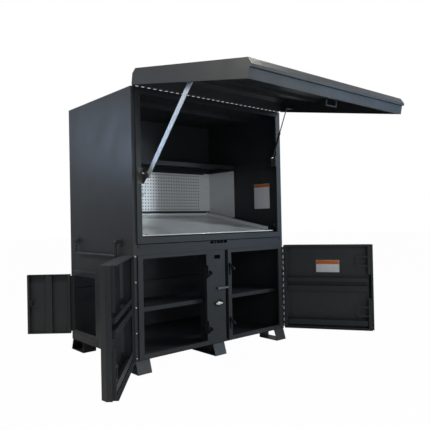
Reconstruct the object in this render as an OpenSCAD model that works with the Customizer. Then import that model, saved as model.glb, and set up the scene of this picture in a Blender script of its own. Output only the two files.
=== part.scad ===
// Jobsite field cabinet in folded steel: a lifting canopy over a drafting worktop, two swinging
// doors over a shelf, a small side door, drop handles, prop, gas strut and a two-bar lock.
// It stands open, as it is used. Millimetres, +Z up, front towards -Y, origin on the floor under
// the middle of the cabinet.

/* [Cabinet] */
// width of the cabinet from side to side
box_width = 1524; // [1200:1:1830]
// depth of the cabinet from front plate to back wall
box_depth = 984; // [800:1:1200]
// height of the box above its feet
box_height = 1904; // [1700:1:2100]
// height of the feet
foot_height = 90; // [60:1:140]
// thickness of the folded sheet
sheet = 3; // [2:0.5:4]
// clearance between pieces that move past each other
gap = 1; // [0.5:0.1:3]

/* [Front openings] */
// bare border between the edge of the cabinet and the raised lips
border = 28; // [26:1:40]
// width of the raised lips down the sides
lip_width = 40; // [30:1:50]
// how far the raised lips stand out from the front plate
lip_depth = 14; // [8:1:20]
// height of the worktop opening's sill
upper_sill = 852; // [830:1:880]
// height of the band over the upper opening
head_band = 44; // [34:1:100]
// height of the lower edge of the upper lip
upper_lip_low = 808; // [800:1:830]
// height of the door openings' sill
lower_sill = 38; // [30:1:60]
// height of the door openings' head
lower_head = 703; // [690:1:705]
// height of the lower edge of the door opening lips
lower_lip_low = 8; // [8:1:14]
// height of the upper edge of the door opening lips
lower_lip_high = 727; // [722:1:727]
// distance from the middle to the left opening
column_left = 122; // [117:1:160]
// distance from the middle to the right opening
column_right = 136; // [128:1:168]

/* [Lock column] */
// distance from the middle to the lock cover's left edge
cover_left_out = 98; // [82:1:98]
// distance from the middle to the lock cover's right edge
cover_right_out = 68; // [40:1:72]
// distance from the middle to the right door's lip
groove_out = 100; // [88:1:104]
// depth of the channel behind the lock cover
channel_depth = 100; // [60:1:140]
// height of the lever's shaft
lever_height = 432; // [420:1:450]
// length of the lever from its shaft
lever_reach = 98; // [90:1:118]
// height of the lock knob
knob_height = 316; // [300:1:330]
// width of a hook bar
bar_width = 26; // [20:1:30]
// thickness of a hook bar
bar_thick = 4; // [3:1:5]
// travel of the hook bars
bar_travel = 30; // [20:1:34]

/* [Canopy] */
// angle of the canopy from shut, as it stands
canopy_open = 79.3; // [0:0.1:87]
// gap between the shut canopy and the shut doors
lid_gap = 2.5; // [2:0.5:6]
// thickness of the canopy over its rim
canopy_thick = 110; // [100:1:120]
// depth of the canopy's outer shell at the free edge
canopy_shell_deep = 50; // [40:1:60]
// width of the canopy's sloping corners
canopy_chamfer = 34; // [20:1:40]
// how far the inner rim stands in from the shell
rim_inset = 14; // [12:1:14]
// distance of the staple from the canopy's free edge
staple_inset = 55; // [44:1:60]

/* [Doors] */
// angle of the left door from shut, as it stands
left_open = 128.8; // [0:0.1:160]
// angle of the right door from shut, as it stands
right_open = 123.5; // [0:0.1:160]
// height of the top edge of the doors
door_top = 730.5; // [729:0.5:731]
// height of the bottom edge of the doors
door_low = 3; // [0:0.5:4]
// thickness of the doors over their rim
door_thick = 96; // [80:1:110]
// depth of the doors' outer shell at the free edge
door_shell_deep = 64; // [50:1:70]
// width of the doors' sloping corners
door_chamfer = 33; // [20:1:36]

/* [Side door] */
// angle of the side door from shut, as it stands
side_open = 130.7; // [0:0.1:150]
// distance of the side door's hinge from the back
side_hinge_in = 76; // [54:1:94]
// width of the side door
side_width = 352; // [300:1:400]
// height of the side door
side_height = 478; // [400:1:520]
// height of the side door's lower edge
side_low = 68; // [50:1:100]
// thickness of the side door
side_thick = 32; // [20:1:40]

/* [Fittings] */
// width of the prop bar
prop_width = 40; // [30:1:45]
// thickness of the prop bar
prop_thick = 5; // [4:1:6]
// distance of the prop's pivot from the canopy hinge
prop_place = 597; // [580:1:610]
// length of the gas strut's cylinder
strut_body = 226; // [200:1:240]
// radius of the gas strut's cylinder
strut_radius = 9; // [7:0.5:11]
// radius of the gas strut's rod
rod_radius = 4.5; // [3:0.5:5]
// radius of the drop handle's round bar
handle_radius = 10.5; // [8:0.5:11]
// drop of the handle's bar below its pivots
handle_drop = 100; // [80:1:120]
// running clearance of pins in their bores
pin_fit = 0.06; // [0.01:0.01:0.1]

/* [Hidden] */
steel = [0.24, 0.25, 0.28];
steel_in = [0.2, 0.21, 0.23];
pale = [0.86, 0.87, 0.88];
zinc = [0.78, 0.79, 0.8];
chrome = [0.85, 0.86, 0.88];
black = [0.08, 0.08, 0.09];
w = box_width;
d = box_depth;
h = box_height;
hinge_out = 8;
hinge_r = 5;
hinge_pin_r = 2.4;
leaf = 3;
knuckle_pitch = 50;
canopy_hinge_z = h + hinge_out;
canopy_length = canopy_hinge_z - door_top - lid_gap;
staple_place = canopy_length - staple_inset;
beam_places = [canopy_length * 0.305, canopy_length * 0.67];
upper_head = h - head_band;
left_open_end = w / 2 - column_left;
right_open_start = w / 2 + column_right;
cover_left = w / 2 - cover_left_out;
cover_right = w / 2 + cover_right_out;
right_lip_left = w / 2 + groove_out;
side_hinge_back = d - side_hinge_in;
rim_gap = 4;
rim_n = rim_gap - hinge_out;
canopy_top_n = rim_n + canopy_thick;
shell_low_n = canopy_top_n - canopy_shell_deep;
canopy_tilt = 90 - canopy_open;
door_axis_out = 6;
door_rim_v = rim_gap - door_axis_out;
door_skin_v = door_rim_v + door_thick;
door_step_v = door_skin_v - door_shell_deep;
door_width = w / 2 - gap;
cover_y = -lip_depth;
cover_slot_low = lower_lip_high - 66;
cover_mid = (cover_left + cover_right) / 2 + 2;
flange_v = lip_depth + 2 - door_axis_out;
frame_v = flange_v + 4;
foot_wide = 114;
foot_deep = 182;
frame_band = 31;
frame_low = 14;
lever_v = lip_depth + 19 - door_axis_out;
tray_places = [34, 329];
tray_lip = 45;
door_rail_low = 410;
door_rail_tall = 33;
notch_low = lever_height - lever_reach - 60;
notch_high = lever_height + 45;
left_bar_x = left_open_end + 6;
right_bar_x = right_lip_left + 14;
hook_out = 76;
hook_tall = 58;
left_hooks = [95, 523];
right_hooks = [130, 558];
bar_fit = 0.4;
keeper_v = lip_depth + 12 - door_axis_out;
keeper_bar = 10;
side_axis_out = side_thick + 4;
side_near = side_axis_out - 3;
side_far = side_near - side_thick;
side_open_low = side_low + 15;
side_open_high = side_low + side_height - 15;
side_open_back = side_hinge_back - 10;
side_open_front = side_hinge_back - side_width + 14;
handle_y = [171, d - 143];
handle_z = 822;
handle_out = 32;
prop_x = 86;
prop_n = 75;
prop_tip = [-66, canopy_hinge_z - 632];
strut_x = w - 84;
strut_low = [13, canopy_hinge_z - 412];
strut_place = [150, 20];
strut_gap = 0.4;
table_left = 96;
table_right = w - 90;
table_front = 28;
table_back = d - 59;
table_front_z = upper_sill + 10;
table_back_z = table_front_z + 160;
shelf_z = h - 422;
shelf_front = d - 399;
shelf_lip = 32;
low_shelf_z = 352;
low_shelf_front = 58;
low_shelf_back = 456;
low_shelf_lip = 30;
peg_in = 76;
peg_deep = 25;
peg_low = table_back_z + 36;
liner_front = d - 379;
liner_top = shelf_z - 45;
rail_deep = 31;
rail_low = 306;
rail_high = 419;
roof_rail_front = 365;
roof_rail_back = 515;
side_rail_low = h - 492;
side_rail_high = h - 404;
side_rail_out = 15;

// places children measured from the left end of the front plate, at the bottom of the box
module in_box() translate([-w / 2, -d / 2, foot_height]) children();

// a block given by its two opposite corners
module block(a, b) translate(a) cube([b[0] - a[0], b[1] - a[1], b[2] - a[2]]);

// a flat shape drawn as width and height, standing at depth y and t thick
module upright(y, t) translate([0, y + t, 0]) rotate([90, 0, 0]) linear_extrude(t) children();

// a rectangle given by its two opposite corners
module area(a, b) translate(a) square([b[0] - a[0], b[1] - a[1]]);

// a round bar along x, y or z
module bar_x(r, a, b) translate([a, 0, 0]) rotate([0, 90, 0]) cylinder(r = r, h = b - a, $fn = 32);
module bar_y(r, a, b) translate([0, b, 0]) rotate([90, 0, 0]) cylinder(r = r, h = b - a, $fn = 32);
module bar_z(r, a, b) translate([0, 0, a]) cylinder(r = r, h = b - a, $fn = 32);

// raised lip: a folded channel round an opening, open towards the front plate
module lip(outer_a, outer_b, inner_a, inner_b) {
    module ring(t) {
        difference() {
            area(outer_a + [t, t], outer_b - [t, t]);
            area(inner_a - [t, t], inner_b + [t, t]);
        }
    }
    difference() {
        upright(-lip_depth, lip_depth) ring(0);
        upright(-lip_depth + sheet, lip_depth) ring(sheet);
    }
}

// slots that the hooks travel in, through the lip and the front plate
module hook_slots(x, places, up) {
    below = up ? 6 : bar_travel + 6;
    above = up ? bar_travel + 6 : 6;
    for (z = places)
        block([x - 6, -lip_depth - 1, z - below],
            [x + bar_thick + 6, sheet + 1, z + hook_tall + above]);
}

// lower half of the shell of a folded lid: a tray with sloping edges, open below
// length runs to -y, width along x, height up z from low to top
module lid_tray(x0, x1, length, low, top, chamfer, start) {
    function outline(t) = [[-start - t, low - 1 - t], [-start - t, top - chamfer],
        [-start - t - chamfer + t * 0.41, top - t], [-length + chamfer + t * 0.59, top - t],
        [-length + t, top - chamfer - t * 0.41], [-length + t, low - 1 - t]];
    module solid(t, a, b)
        translate([a, 0, 0]) rotate([90, 0, 90]) linear_extrude(b - a) polygon(outline(t));
    difference() {
        intersection() {
            solid(0, x0, x1);
            block([x0, -length, low], [x1, 0, top]);
        }
        solid(sheet, x0 + sheet, x1 - sheet);
    }
}

// one row of hinge knuckles along x, the solid ones with their pin or the bored ones
module knuckles(count, bored) {
    shift = bored ? knuckle_pitch / 2 : 0;
    for (i = [0 : count - 1])
        translate([i * knuckle_pitch + shift, 0, 0])
            rotate([0, 90, 0])
                difference() {
                    cylinder(r = hinge_r, h = knuckle_pitch / 2 - gap, $fn = 20);
                    if (bored)
                        translate([0, 0, -1])
                            cylinder(r = hinge_pin_r + pin_fit, h = knuckle_pitch, $fn = 20);
                }
}

// fixed half of a piano hinge along x: leaf below the axis, tabs, solid knuckles and the pin
module fixed_half(count, leaf_tall, out) {
    run = count * knuckle_pitch;
    knuckles(count, false);
    bar_x(hinge_pin_r, 0, run - gap);
    block([0, out - leaf, -leaf_tall], [run - gap, out, -hinge_r - gap]);
    for (i = [0 : count - 1])
        block([i * knuckle_pitch, out - leaf - 2, -hinge_r - gap - 1],
            [i * knuckle_pitch + knuckle_pitch / 2 - gap, out - leaf + 1, 0]);
}

// moving half of a piano hinge along x: bored knuckles with a leaf that stands up from the axis
module moving_half(count, leaf_tall, off) {
    run = count * knuckle_pitch;
    knuckles(count, true);
    block([0, -off - leaf, hinge_r + gap], [run - gap, -off, leaf_tall]);
    for (i = [0 : count - 1])
        block([i * knuckle_pitch + knuckle_pitch / 2, -off - leaf, 0],
            [i * knuckle_pitch + knuckle_pitch - gap, -hinge_pin_r - 1, hinge_r + gap + 1]);
}

module floor_pan() color(steel)
    in_box() block([0, 0, 0], [w, d, sheet]);

module left_wall() color(steel)
    in_box() difference() {
        block([0, sheet, sheet], [sheet, d, h - sheet]);
        block([-1, side_open_front, side_open_low], [sheet + 1, side_open_back, side_open_high]);
    }

module right_wall() color(steel)
    in_box() block([w - sheet, sheet, sheet], [w, d, h - sheet]);

module back_wall() color(steel)
    in_box() block([sheet, d - sheet, sheet], [w - sheet, d, h - sheet]);

module roof_panel() color(steel)
    in_box() block([0, 0, h - sheet], [w, d, h]);

module front_plate() color(steel)
    in_box() difference() {
        upright(0, sheet) difference() {
            area([0, sheet], [w, h - sheet]);
            area([border + lip_width, upper_sill], [w - border - lip_width, upper_head]);
            area([border + lip_width, lower_sill], [left_open_end, lower_head]);
            area([right_open_start, lower_sill], [w - border - lip_width, lower_head]);
            area([cover_right + gap, lower_lip_low + 12], [right_lip_left - gap, lower_lip_high]);
            area([cover_mid - 60, upper_lip_low - 27], [cover_mid + 118, upper_lip_low - 5]);
            area([cover_mid - 29, cover_slot_low], [cover_mid + 30, cover_slot_low + 30]);
        }
        hook_slots(left_bar_x, left_hooks, true);
        hook_slots(right_bar_x, right_hooks, false);
        translate([cover_mid, 0, lever_height]) bar_y(9 + pin_fit, -1, sheet + 1);
        translate([cover_mid, 0, knob_height]) bar_y(10 + pin_fit, -1, sheet + 1);
    }

module upper_lip() color(steel)
    in_box() lip([border, upper_lip_low], [w - border, upper_head + 24],
        [border + lip_width, upper_sill], [w - border - lip_width, upper_head]);

module left_lip() color(steel)
    in_box() difference() {
        lip([border, lower_lip_low], [cover_left - gap, lower_lip_high],
            [border + lip_width, lower_sill], [left_open_end, lower_head]);
        hook_slots(left_bar_x, left_hooks, true);
    }

module right_lip() color(steel)
    in_box() difference() {
        lip([right_lip_left, lower_lip_low], [w - border, lower_lip_high],
            [right_open_start, lower_sill], [w - border - lip_width, lower_head]);
        hook_slots(right_bar_x, right_hooks, false);
    }

// three-sided channel that stiffens the lock column behind the front plate
module lock_channel() color(steel_in)
    in_box() difference() {
        block([cover_left, sheet, sheet], [right_lip_left, channel_depth, upper_lip_low - 40]);
        block([cover_left + sheet, 0, 0],
            [right_lip_left - sheet, channel_depth - sheet, upper_lip_low]);
        block([0, 14, lever_height - 60], [w, 34, lever_height + 60]);
    }

module lock_cover() color(steel)
    in_box() difference() {
        union() {
            block([cover_left, cover_y, lower_lip_low], [cover_right, cover_y + sheet, lower_lip_high]);
            block([cover_left, cover_y, lower_lip_low], [cover_left + sheet, 0, lower_lip_high]);
            block([cover_right - sheet, cover_y, lower_lip_low], [cover_right, 0, lower_lip_high]);
        }
        block([cover_mid - 29, cover_y - 1, cover_slot_low],
            [cover_mid + 30, cover_y + sheet + 1, cover_slot_low + 30]);
        translate([cover_mid, 0, lever_height]) bar_y(9 + pin_fit, cover_y - 1, cover_y + sheet + 1);
        translate([cover_mid, cover_y + sheet + 1, knob_height]) rotate([90, 0, 0])
            linear_extrude(sheet + 2) scale([49, 29]) circle(r = 1, $fn = 48);
    }

// hat section across the back wall, open towards the wall
module back_rail() color(steel_in)
    in_box() difference() {
        block([sheet, d - sheet - rail_deep, rail_low], [w - sheet, d - sheet, rail_high]);
        block([0, d - rail_deep, rail_low + sheet], [w, d, rail_high - sheet]);
    }

module roof_rail() color(steel_in)
    in_box() difference() {
        block([sheet, roof_rail_front, h - sheet - rail_deep],
            [w - sheet, roof_rail_back, h - sheet]);
        block([0, roof_rail_front + sheet, h - rail_deep], [w, roof_rail_back - sheet, h]);
    }

module side_rails() color(steel_in)
    in_box() for (m = [0, 1])
        translate([m * w, 0, 0]) mirror([m, 0, 0]) difference() {
            block([sheet, low_shelf_front, side_rail_low],
                [sheet + side_rail_out, shelf_front - gap, side_rail_high]);
            block([0, low_shelf_front + sheet, side_rail_low + sheet],
                [side_rail_out, shelf_front - gap - sheet, side_rail_high - sheet]);
        }

module upper_shelf() color(steel_in)
    in_box() {
        block([sheet, shelf_front, shelf_z], [w - sheet, d - sheet, shelf_z + sheet]);
        block([sheet, shelf_front, shelf_z - shelf_lip], [w - sheet, shelf_front + sheet, shelf_z]);
        block([sheet, d - 2 * sheet, shelf_z - shelf_lip], [w - sheet, d - sheet, shelf_z]);
    }

module lower_shelf() color(steel_in)
    in_box() difference() {
        union() {
            block([sheet, low_shelf_front, low_shelf_z - sheet],
                [w - sheet, low_shelf_back, low_shelf_z]);
            for (y = [low_shelf_front, low_shelf_back - sheet])
                block([sheet, y, low_shelf_z - low_shelf_lip], [w - sheet, y + sheet, low_shelf_z]);
        }
        block([cover_left - 1, 0, low_shelf_z - low_shelf_lip - 1],
            [right_lip_left + 1, channel_depth + 1, low_shelf_z + 1]);
    }

// white back panel over the worktop; the field of peg holes is pressed, not cut through
module peg_panel() color(pale)
    in_box() difference() {
        block([peg_in, d - peg_deep, peg_low], [w - peg_in, d - sheet, shelf_z - 58]);
        block([peg_in + sheet, d - peg_deep + sheet, peg_low + sheet],
            [w - peg_in - sheet, d, shelf_z - 58 - sheet]);
    }

// white liner on the right wall with a flange that turns onto the back wall
module side_liner() color(pale)
    in_box() {
        translate([w - 2 * sheet, 0, 0]) rotate([90, 0, 90]) linear_extrude(sheet)
            polygon([[liner_front, peg_low - 73], [d - sheet, peg_low - 8], [d - sheet, liner_top],
                [liner_front, liner_top]]);
        block([w - peg_in + gap, d - 2 * sheet, peg_low], [w - 2 * sheet, d - sheet, liner_top]);
    }

table_slope = atan2(table_back_z - table_front_z, table_back - table_front);
table_run = norm([table_back - table_front, table_back_z - table_front_z]);
table_wide = table_right - table_left;

// places children on the sloping worktop, measured from its front left corner
module on_table() in_box() translate([table_left, table_front, table_front_z])
    rotate([table_slope, 0, 0]) children();

// sloping white drafting tray with turned-up sides, a rolled front edge and a back upstand
module worktop() color(pale)
    on_table() {
        block([0, 0, -sheet], [table_wide, table_run, 0]);
        block([0, 58, 0], [sheet, table_run, 26]);
        block([table_wide - sheet, 58, 0], [table_wide, table_run, 26]);
        block([sheet, 58, 23], [16, table_run, 26]);
        block([table_wide - 16, 58, 23], [table_wide - sheet, table_run, 26]);
        block([sheet, table_run - sheet, 0], [table_wide - sheet, table_run, 14]);
        translate([0, 0, 1]) bar_x(5, 0, table_wide);
    }

// four ledges between the side walls and the underside of the worktop
module worktop_brackets() color(steel_in)
    on_table() for (m = [0, 1], y = [24, table_run - 70])
        translate([m * table_wide, 0, 0]) mirror([m, 0, 0]) {
            wall = m == 0 ? sheet - table_left : table_right + sheet - w;
            block([wall, y, -sheet - 3], [14, y + 42, -sheet]);
            block([wall, y, -sheet - 30], [wall + 3, y + 42, -sheet - 3]);
        }

// one splayed strap foot, open from side to side, its sloping plate towards the outside
module foot(x, deep) {
    y0 = 0;
    y1 = deep;
    lean = 28;
    translate([x, 0, 0]) rotate([90, 0, 90]) linear_extrude(foot_wide) difference() {
        polygon([[y0, 0], [y1, 0], [y1, -foot_height], [y0 - lean, -foot_height]]);
        polygon([[y0 + 5, -5], [y1 - 5, -5], [y1 - 5, 5 - foot_height], [y0 + 5 - lean, 5 - foot_height]]);
    }
}

// the middle foot is longer than the outer two and has a web down its middle
module three_feet() {
    middle = (w - foot_wide) / 2;
    for (x = [6, w - foot_wide - 6]) foot(x, foot_deep);
    foot(middle, foot_deep + 118);
    block([w / 2 - 2, 3, 3 - foot_height], [w / 2 + 2, foot_deep + 115, -3]);
}

module front_feet() color(steel)
    in_box() translate([0, 2, 0]) three_feet();

module rear_feet() color(steel)
    in_box() translate([0, d - 2, 0]) mirror([0, 1, 0]) three_feet();

canopy_knuckles = floor((w - 24) / knuckle_pitch);
canopy_hinge_x = (w - canopy_knuckles * knuckle_pitch) / 2;

module canopy_hinge_leaf() color(zinc)
    in_box() translate([canopy_hinge_x, -hinge_out, canopy_hinge_z])
        fixed_half(canopy_knuckles, 27, hinge_out);

// places children on the canopy hinge, with the lid drawn level and running to -y
module on_canopy() in_box() translate([0, -hinge_out, canopy_hinge_z])
    rotate([canopy_tilt, 0, 0]) children();

module canopy_shell() color(steel)
    on_canopy() {
        lid_tray(0, w, canopy_length, shell_low_n, canopy_top_n, canopy_chamfer, leaf * 2 + 1);
        n = shell_low_n;
        edge = rim_inset + sheet;
        block([sheet, -canopy_length + sheet, n], [w - sheet, -canopy_length + edge, n + sheet]);
        for (x = [0, w - sheet])
            block([x, rim_inset - canopy_length, rim_n], [x + sheet, -leaf * 2 - 1, n + 1]);
    }

// inner rim of the canopy, whose return seats on the front plate round the lip
module canopy_rim() color(steel)
    on_canopy() {
        far = -canopy_length + rim_inset;
        near = -leaf * 2 - 1;
        low = rim_n;
        a = sheet;
        b = w - sheet;
        back = rim_inset;
        block([a, far, low], [b, far + sheet, shell_low_n]);
        block([a, near - sheet, low + 6], [b, near, shell_low_n]);
        block([a, far + sheet, low], [a + sheet, near - sheet, shell_low_n]);
        block([b - sheet, far + sheet, low], [b, near - sheet, shell_low_n]);
        block([a + sheet, far + sheet, low], [b - sheet, far + 22, low + sheet]);
        block([a + sheet, far + 22, low], [a + back, near - 30, low + sheet]);
        block([b - back, far + 22, low], [b - sheet, near - 30, low + sheet]);
    }

// hat section across the middle of the canopy's skin
module canopy_beam() color(steel_in)
    on_canopy() {
        top = canopy_top_n - sheet;
        for (y = -beam_places)
            difference() {
                block([sheet * 2, y - 60, top - 22], [w - sheet * 2, y + 60, top]);
                block([0, y - 57, top - 19], [w, y + 57, top + 1]);
            }
    }

module canopy_lid_leaf() color(zinc)
    on_canopy() translate([canopy_hinge_x, 0, 0]) moving_half(canopy_knuckles, 42, leaf + 1);

// wire loop that drops into the slot in the mid rail
module canopy_staple() color(chrome)
    on_canopy() {
        low = rim_n + sheet;
        deep = -44;
        back = -canopy_length + rim_inset + 22;
        for (x = [cover_mid - 34, cover_mid + 66])
            translate([x, -staple_place, 0]) bar_z(4, deep, low + 4);
        translate([0, -staple_place, deep]) bar_x(4, cover_mid - 38, cover_mid + 70);
        block([cover_mid - 44, back - 2, low], [cover_mid + 76, -staple_place + 8, low + 4]);
    }

module canopy_studs() color(zinc)
    on_canopy() {
        translate([0, -prop_place, prop_n]) {
            bar_x(7, prop_x + prop_thick + 1, prop_x + prop_thick + 5);
            bar_x(5, 3, prop_x + prop_thick + 1);
            bar_x(10, sheet, prop_x - 1);
        }
        translate([0, -strut_place[0], strut_place[1]])
            bar_x(5, strut_x + 5 + strut_gap, w - 2 * sheet);
    }

// shell of a door lying shut, hinge on the z axis, width along x and outside towards -y
module door_shell() {
    rise = door_top - door_low;
    long = door_width;
    start = leaf + 2;
    step = door_step_v;
    v = door_skin_v;
    c = door_chamfer;
    function outline(t) = [[start + t, -step + 1 + t], [start + t, c - v],
        [start + c + t * 0.41, t - v], [long - c - t * 0.41, t - v],
        [long - t, c - v + t * 0.41], [long - t, -step + 1 + t]];
    difference() {
        translate([0, 0, door_low]) intersection() {
            linear_extrude(rise) polygon(outline(0));
            block([0, -v, 0], [long, -step, rise]);
        }
        translate([0, 0, door_low + sheet]) linear_extrude(rise - 2 * sheet) polygon(outline(sheet));
    }
    block([long - rim_inset - sheet, -step - sheet, door_low + sheet],
        [long - sheet, -step, door_top - sheet]);
}

// inner rim of a door: three sides seat on the front plate, the free side clears the lock cover,
// and a flat frame turns inwards from it all round
module door_rim() {
    start = leaf + 2;
    edge = door_width - rim_inset;
    step = door_step_v;
    block([start, -step, door_low], [start + sheet, -door_rim_v, door_top]);
    block([start + sheet, -step, door_low], [edge, -door_rim_v, door_low + sheet]);
    block([start + sheet, -step, door_top - 2.5], [edge, -door_rim_v, door_top]);
    block([edge - sheet, -step, door_low + sheet], [edge, -flange_v, notch_low]);
    block([edge - sheet, -step, notch_high], [edge, -flange_v, door_top - 2.5]);
    back = -frame_v - sheet;
    low = door_low + sheet;
    high = door_top - 2.5;
    inner = edge - sheet;
    block([start + sheet, back, low], [frame_band, -frame_v, high]);
    block([frame_band, back, low], [inner, -frame_v, low + frame_low]);
    block([frame_band, back, high - frame_low], [inner, -frame_v, high]);
    block([inner - frame_band + start, back, low + frame_low], [inner, -frame_v, notch_low]);
    block([inner - frame_band + start, back, notch_high], [inner, -frame_v, high - frame_low]);
}

// two trays and a rail across the inside of a door; the front of each stands at the depth given
module door_trays(front) {
    back = door_skin_v - sheet;
    a = frame_band + 11;
    near = frame_band + 2;
    b = door_width - 50;
    for (z = tray_places) {
        block([a, -back, z], [b, -front - 2, z + 2]);
        block([near, -front - 2, z], [b, -front, z + tray_lip]);
        for (x = [a, b - 2])
            block([x, -back, z + 2], [x + 2, -front - 2, z + tray_lip]);
    }
    block([near, -front - 2, door_rail_low], [b, -front, door_rail_low + door_rail_tall]);
    for (x = [a, b - 2])
        block([x, -back, door_rail_low], [x + 2, -front - 2, door_rail_low + door_rail_tall]);
}

// a keeper for each hook: an open frame that the hook enters, with two cheeks to the door's step
module door_keepers(hook_at, places) {
    edge = door_width - rim_inset - sheet;
    for (p = places) {
        low = p - 4 - keeper_bar;
        high = p + hook_tall + 4 + keeper_bar;
        difference() {
            block([hook_at - 20, -keeper_v - 3, low], [edge, -keeper_v, high]);
            block([hook_at - 11, -keeper_v - 4, low + keeper_bar], [edge - 12, 1 - keeper_v, high - keeper_bar]);
        }
        for (z = [low, high - 3])
            block([edge - 62, gap - door_step_v, z], [edge, -keeper_v - 3, z + 3]);
    }
}

door_knuckles = floor((door_top - door_low) / knuckle_pitch);
door_hinge_z = (door_top + door_low - door_knuckles * knuckle_pitch) / 2;

// fixed leaf of a door hinge on the front plate's border, axis at the cabinet's corner
module door_fixed_leaf() {
    run = door_knuckles * knuckle_pitch;
    translate([0, 0, door_hinge_z + run - gap]) rotate([0, 90, 0]) knuckles(door_knuckles, false);
    translate([0, 0, door_hinge_z]) bar_z(hinge_pin_r, 0, run - gap);
    block([hinge_r + gap, door_axis_out - 2, door_hinge_z],
        [border - 4, door_axis_out, door_hinge_z + run - gap]);
    for (i = [0 : door_knuckles - 1])
        translate([0, 0, door_hinge_z + run - gap - i * knuckle_pitch])
            block([0, door_axis_out - 3.4, gap - knuckle_pitch / 2], [hinge_r + 2, door_axis_out, 0]);
}

// moving leaf of a door hinge, standing along the door's hinge side
module door_moving_leaf() {
    run = door_knuckles * knuckle_pitch;
    translate([0, 0, door_hinge_z + run - gap]) rotate([0, 90, 0]) knuckles(door_knuckles, true);
    block([leaf - 1, -36, door_hinge_z], [leaf + 2, -hinge_r - gap, door_hinge_z + run - gap]);
    for (i = [0 : door_knuckles - 1])
        translate([0, 0, door_hinge_z + run - gap - i * knuckle_pitch - knuckle_pitch / 2])
            block([leaf - 1, -hinge_r - gap - 1, gap - knuckle_pitch / 2],
                [leaf + 1, -hinge_pin_r - 1, 0]);
}

// places children on the left or right door's hinge, turned by the angle from shut
module on_door(side, angle) in_box()
    translate([side > 0 ? 0 : w, -door_axis_out, 0])
        mirror([side > 0 ? 0 : 1, 0, 0]) rotate([0, 0, -angle]) children();

module left_hinge_leaf() color(zinc) on_door(1, 0) door_fixed_leaf();
module right_hinge_leaf() color(zinc) on_door(-1, 0) door_fixed_leaf();
module left_door_shell() color(steel) on_door(1, left_open) door_shell();
module right_door_shell() color(steel) on_door(-1, right_open) door_shell();
module left_door_rim() color(steel) on_door(1, left_open) door_rim();
module right_door_rim() color(steel) on_door(-1, right_open) door_rim();
module left_door_trays() color(steel_in) on_door(1, left_open) door_trays(frame_v);
module right_door_trays() color(steel_in) on_door(-1, right_open) door_trays(lever_v + 3);
module left_door_leaf() color(zinc) on_door(1, left_open) door_moving_leaf();
module right_door_leaf() color(zinc) on_door(-1, right_open) door_moving_leaf();

module left_door_keepers() color(steel_in)
    on_door(1, left_open) door_keepers(left_bar_x + bar_thick / 2, left_hooks);

module right_door_keepers() color(steel_in)
    on_door(-1, right_open) door_keepers(w - right_bar_x - bar_thick / 2, right_hooks);

side_knuckles = floor((side_height - 20) / knuckle_pitch);
side_hinge_z = side_low + (side_height - side_knuckles * knuckle_pitch) / 2;

// places children on the side door's hinge, with the door along x and the wall towards y
module on_side_door(angle) in_box()
    translate([-side_axis_out, side_hinge_back, 0]) rotate([0, 0, -90 - angle]) children();

// standing leaf that carries the side door's axis out from the wall
module side_hinge_leaf() color(zinc)
    on_side_door(0) {
        run = side_knuckles * knuckle_pitch;
        far = -hinge_r - gap;
        translate([0, 0, side_hinge_z + run - gap]) rotate([0, 90, 0])
            knuckles(side_knuckles, false);
        translate([0, 0, side_hinge_z]) bar_z(hinge_pin_r, 0, run - gap);
        block([far - leaf, -2, side_hinge_z], [far, side_axis_out, side_hinge_z + run - gap]);
        block([far - 22, side_axis_out - leaf, side_hinge_z],
            [far - leaf, side_axis_out, side_hinge_z + run - gap]);
        for (i = [0 : side_knuckles - 1])
            translate([0, 0, side_hinge_z + run - gap - i * knuckle_pitch])
                block([far, -2, gap - knuckle_pitch / 2], [-hinge_pin_r - 1, 2, 0]);
    }

// folded pan of the side door with a hat section down its inside
module side_door_panel() color(steel)
    on_side_door(side_open) {
        a = leaf + 2;
        b = side_width;
        top = side_low + side_height;
        middle = (a + b) / 2;
        difference() {
            block([a, side_far, side_low], [b, side_near, top]);
            block([a + sheet, side_far + sheet, side_low + sheet],
                [b - sheet, side_near + 1, top - sheet]);
            translate([b - 34, 0, side_low + side_height / 2])
                bar_y(8 + pin_fit, side_far - 1, side_far + sheet + 1);
        }
        block([middle - 26, side_near - 9, side_low + sheet],
            [middle + 26, side_near - 6, top - sheet]);
        for (x = [middle - 26, middle + 23])
            block([x, side_far + sheet, side_low + sheet], [x + sheet, side_near - 9, top - sheet]);
        for (x = [a + sheet, b - sheet - 14])
            block([x, side_near - sheet, side_low + sheet], [x + 14, side_near, top - sheet]);
    }

module side_door_leaf() color(zinc)
    on_side_door(side_open) {
        run = side_knuckles * knuckle_pitch;
        translate([0, 0, side_hinge_z + run - gap]) rotate([0, 90, 0])
            knuckles(side_knuckles, true);
        block([leaf - 1, hinge_r + gap, side_hinge_z], [leaf + 2, 26, side_hinge_z + run - gap]);
        for (i = [0 : side_knuckles - 1])
            translate([0, 0, side_hinge_z + run - gap - i * knuckle_pitch - knuckle_pitch / 2])
                block([leaf - 1, hinge_pin_r + 1, gap - knuckle_pitch / 2],
                    [leaf + 1, hinge_r + gap + 1, 0]);
    }

// turn latch at the free edge of the side door: a grip outside, a shaft and a cam inside
module side_latch() color(zinc)
    on_side_door(side_open)
        translate([side_width - 34, 0, side_low + side_height / 2]) {
            cam = side_axis_out + sheet + 2;
            bar_y(8, side_far - 1, cam + 3);
            bar_y(14, side_far - 3, side_far - 1);
            block([-4, side_far - 16, -20], [4, side_far - 3, 20]);
            block([-9, cam, -9], [9, cam + 3, 38]);
        }

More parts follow.
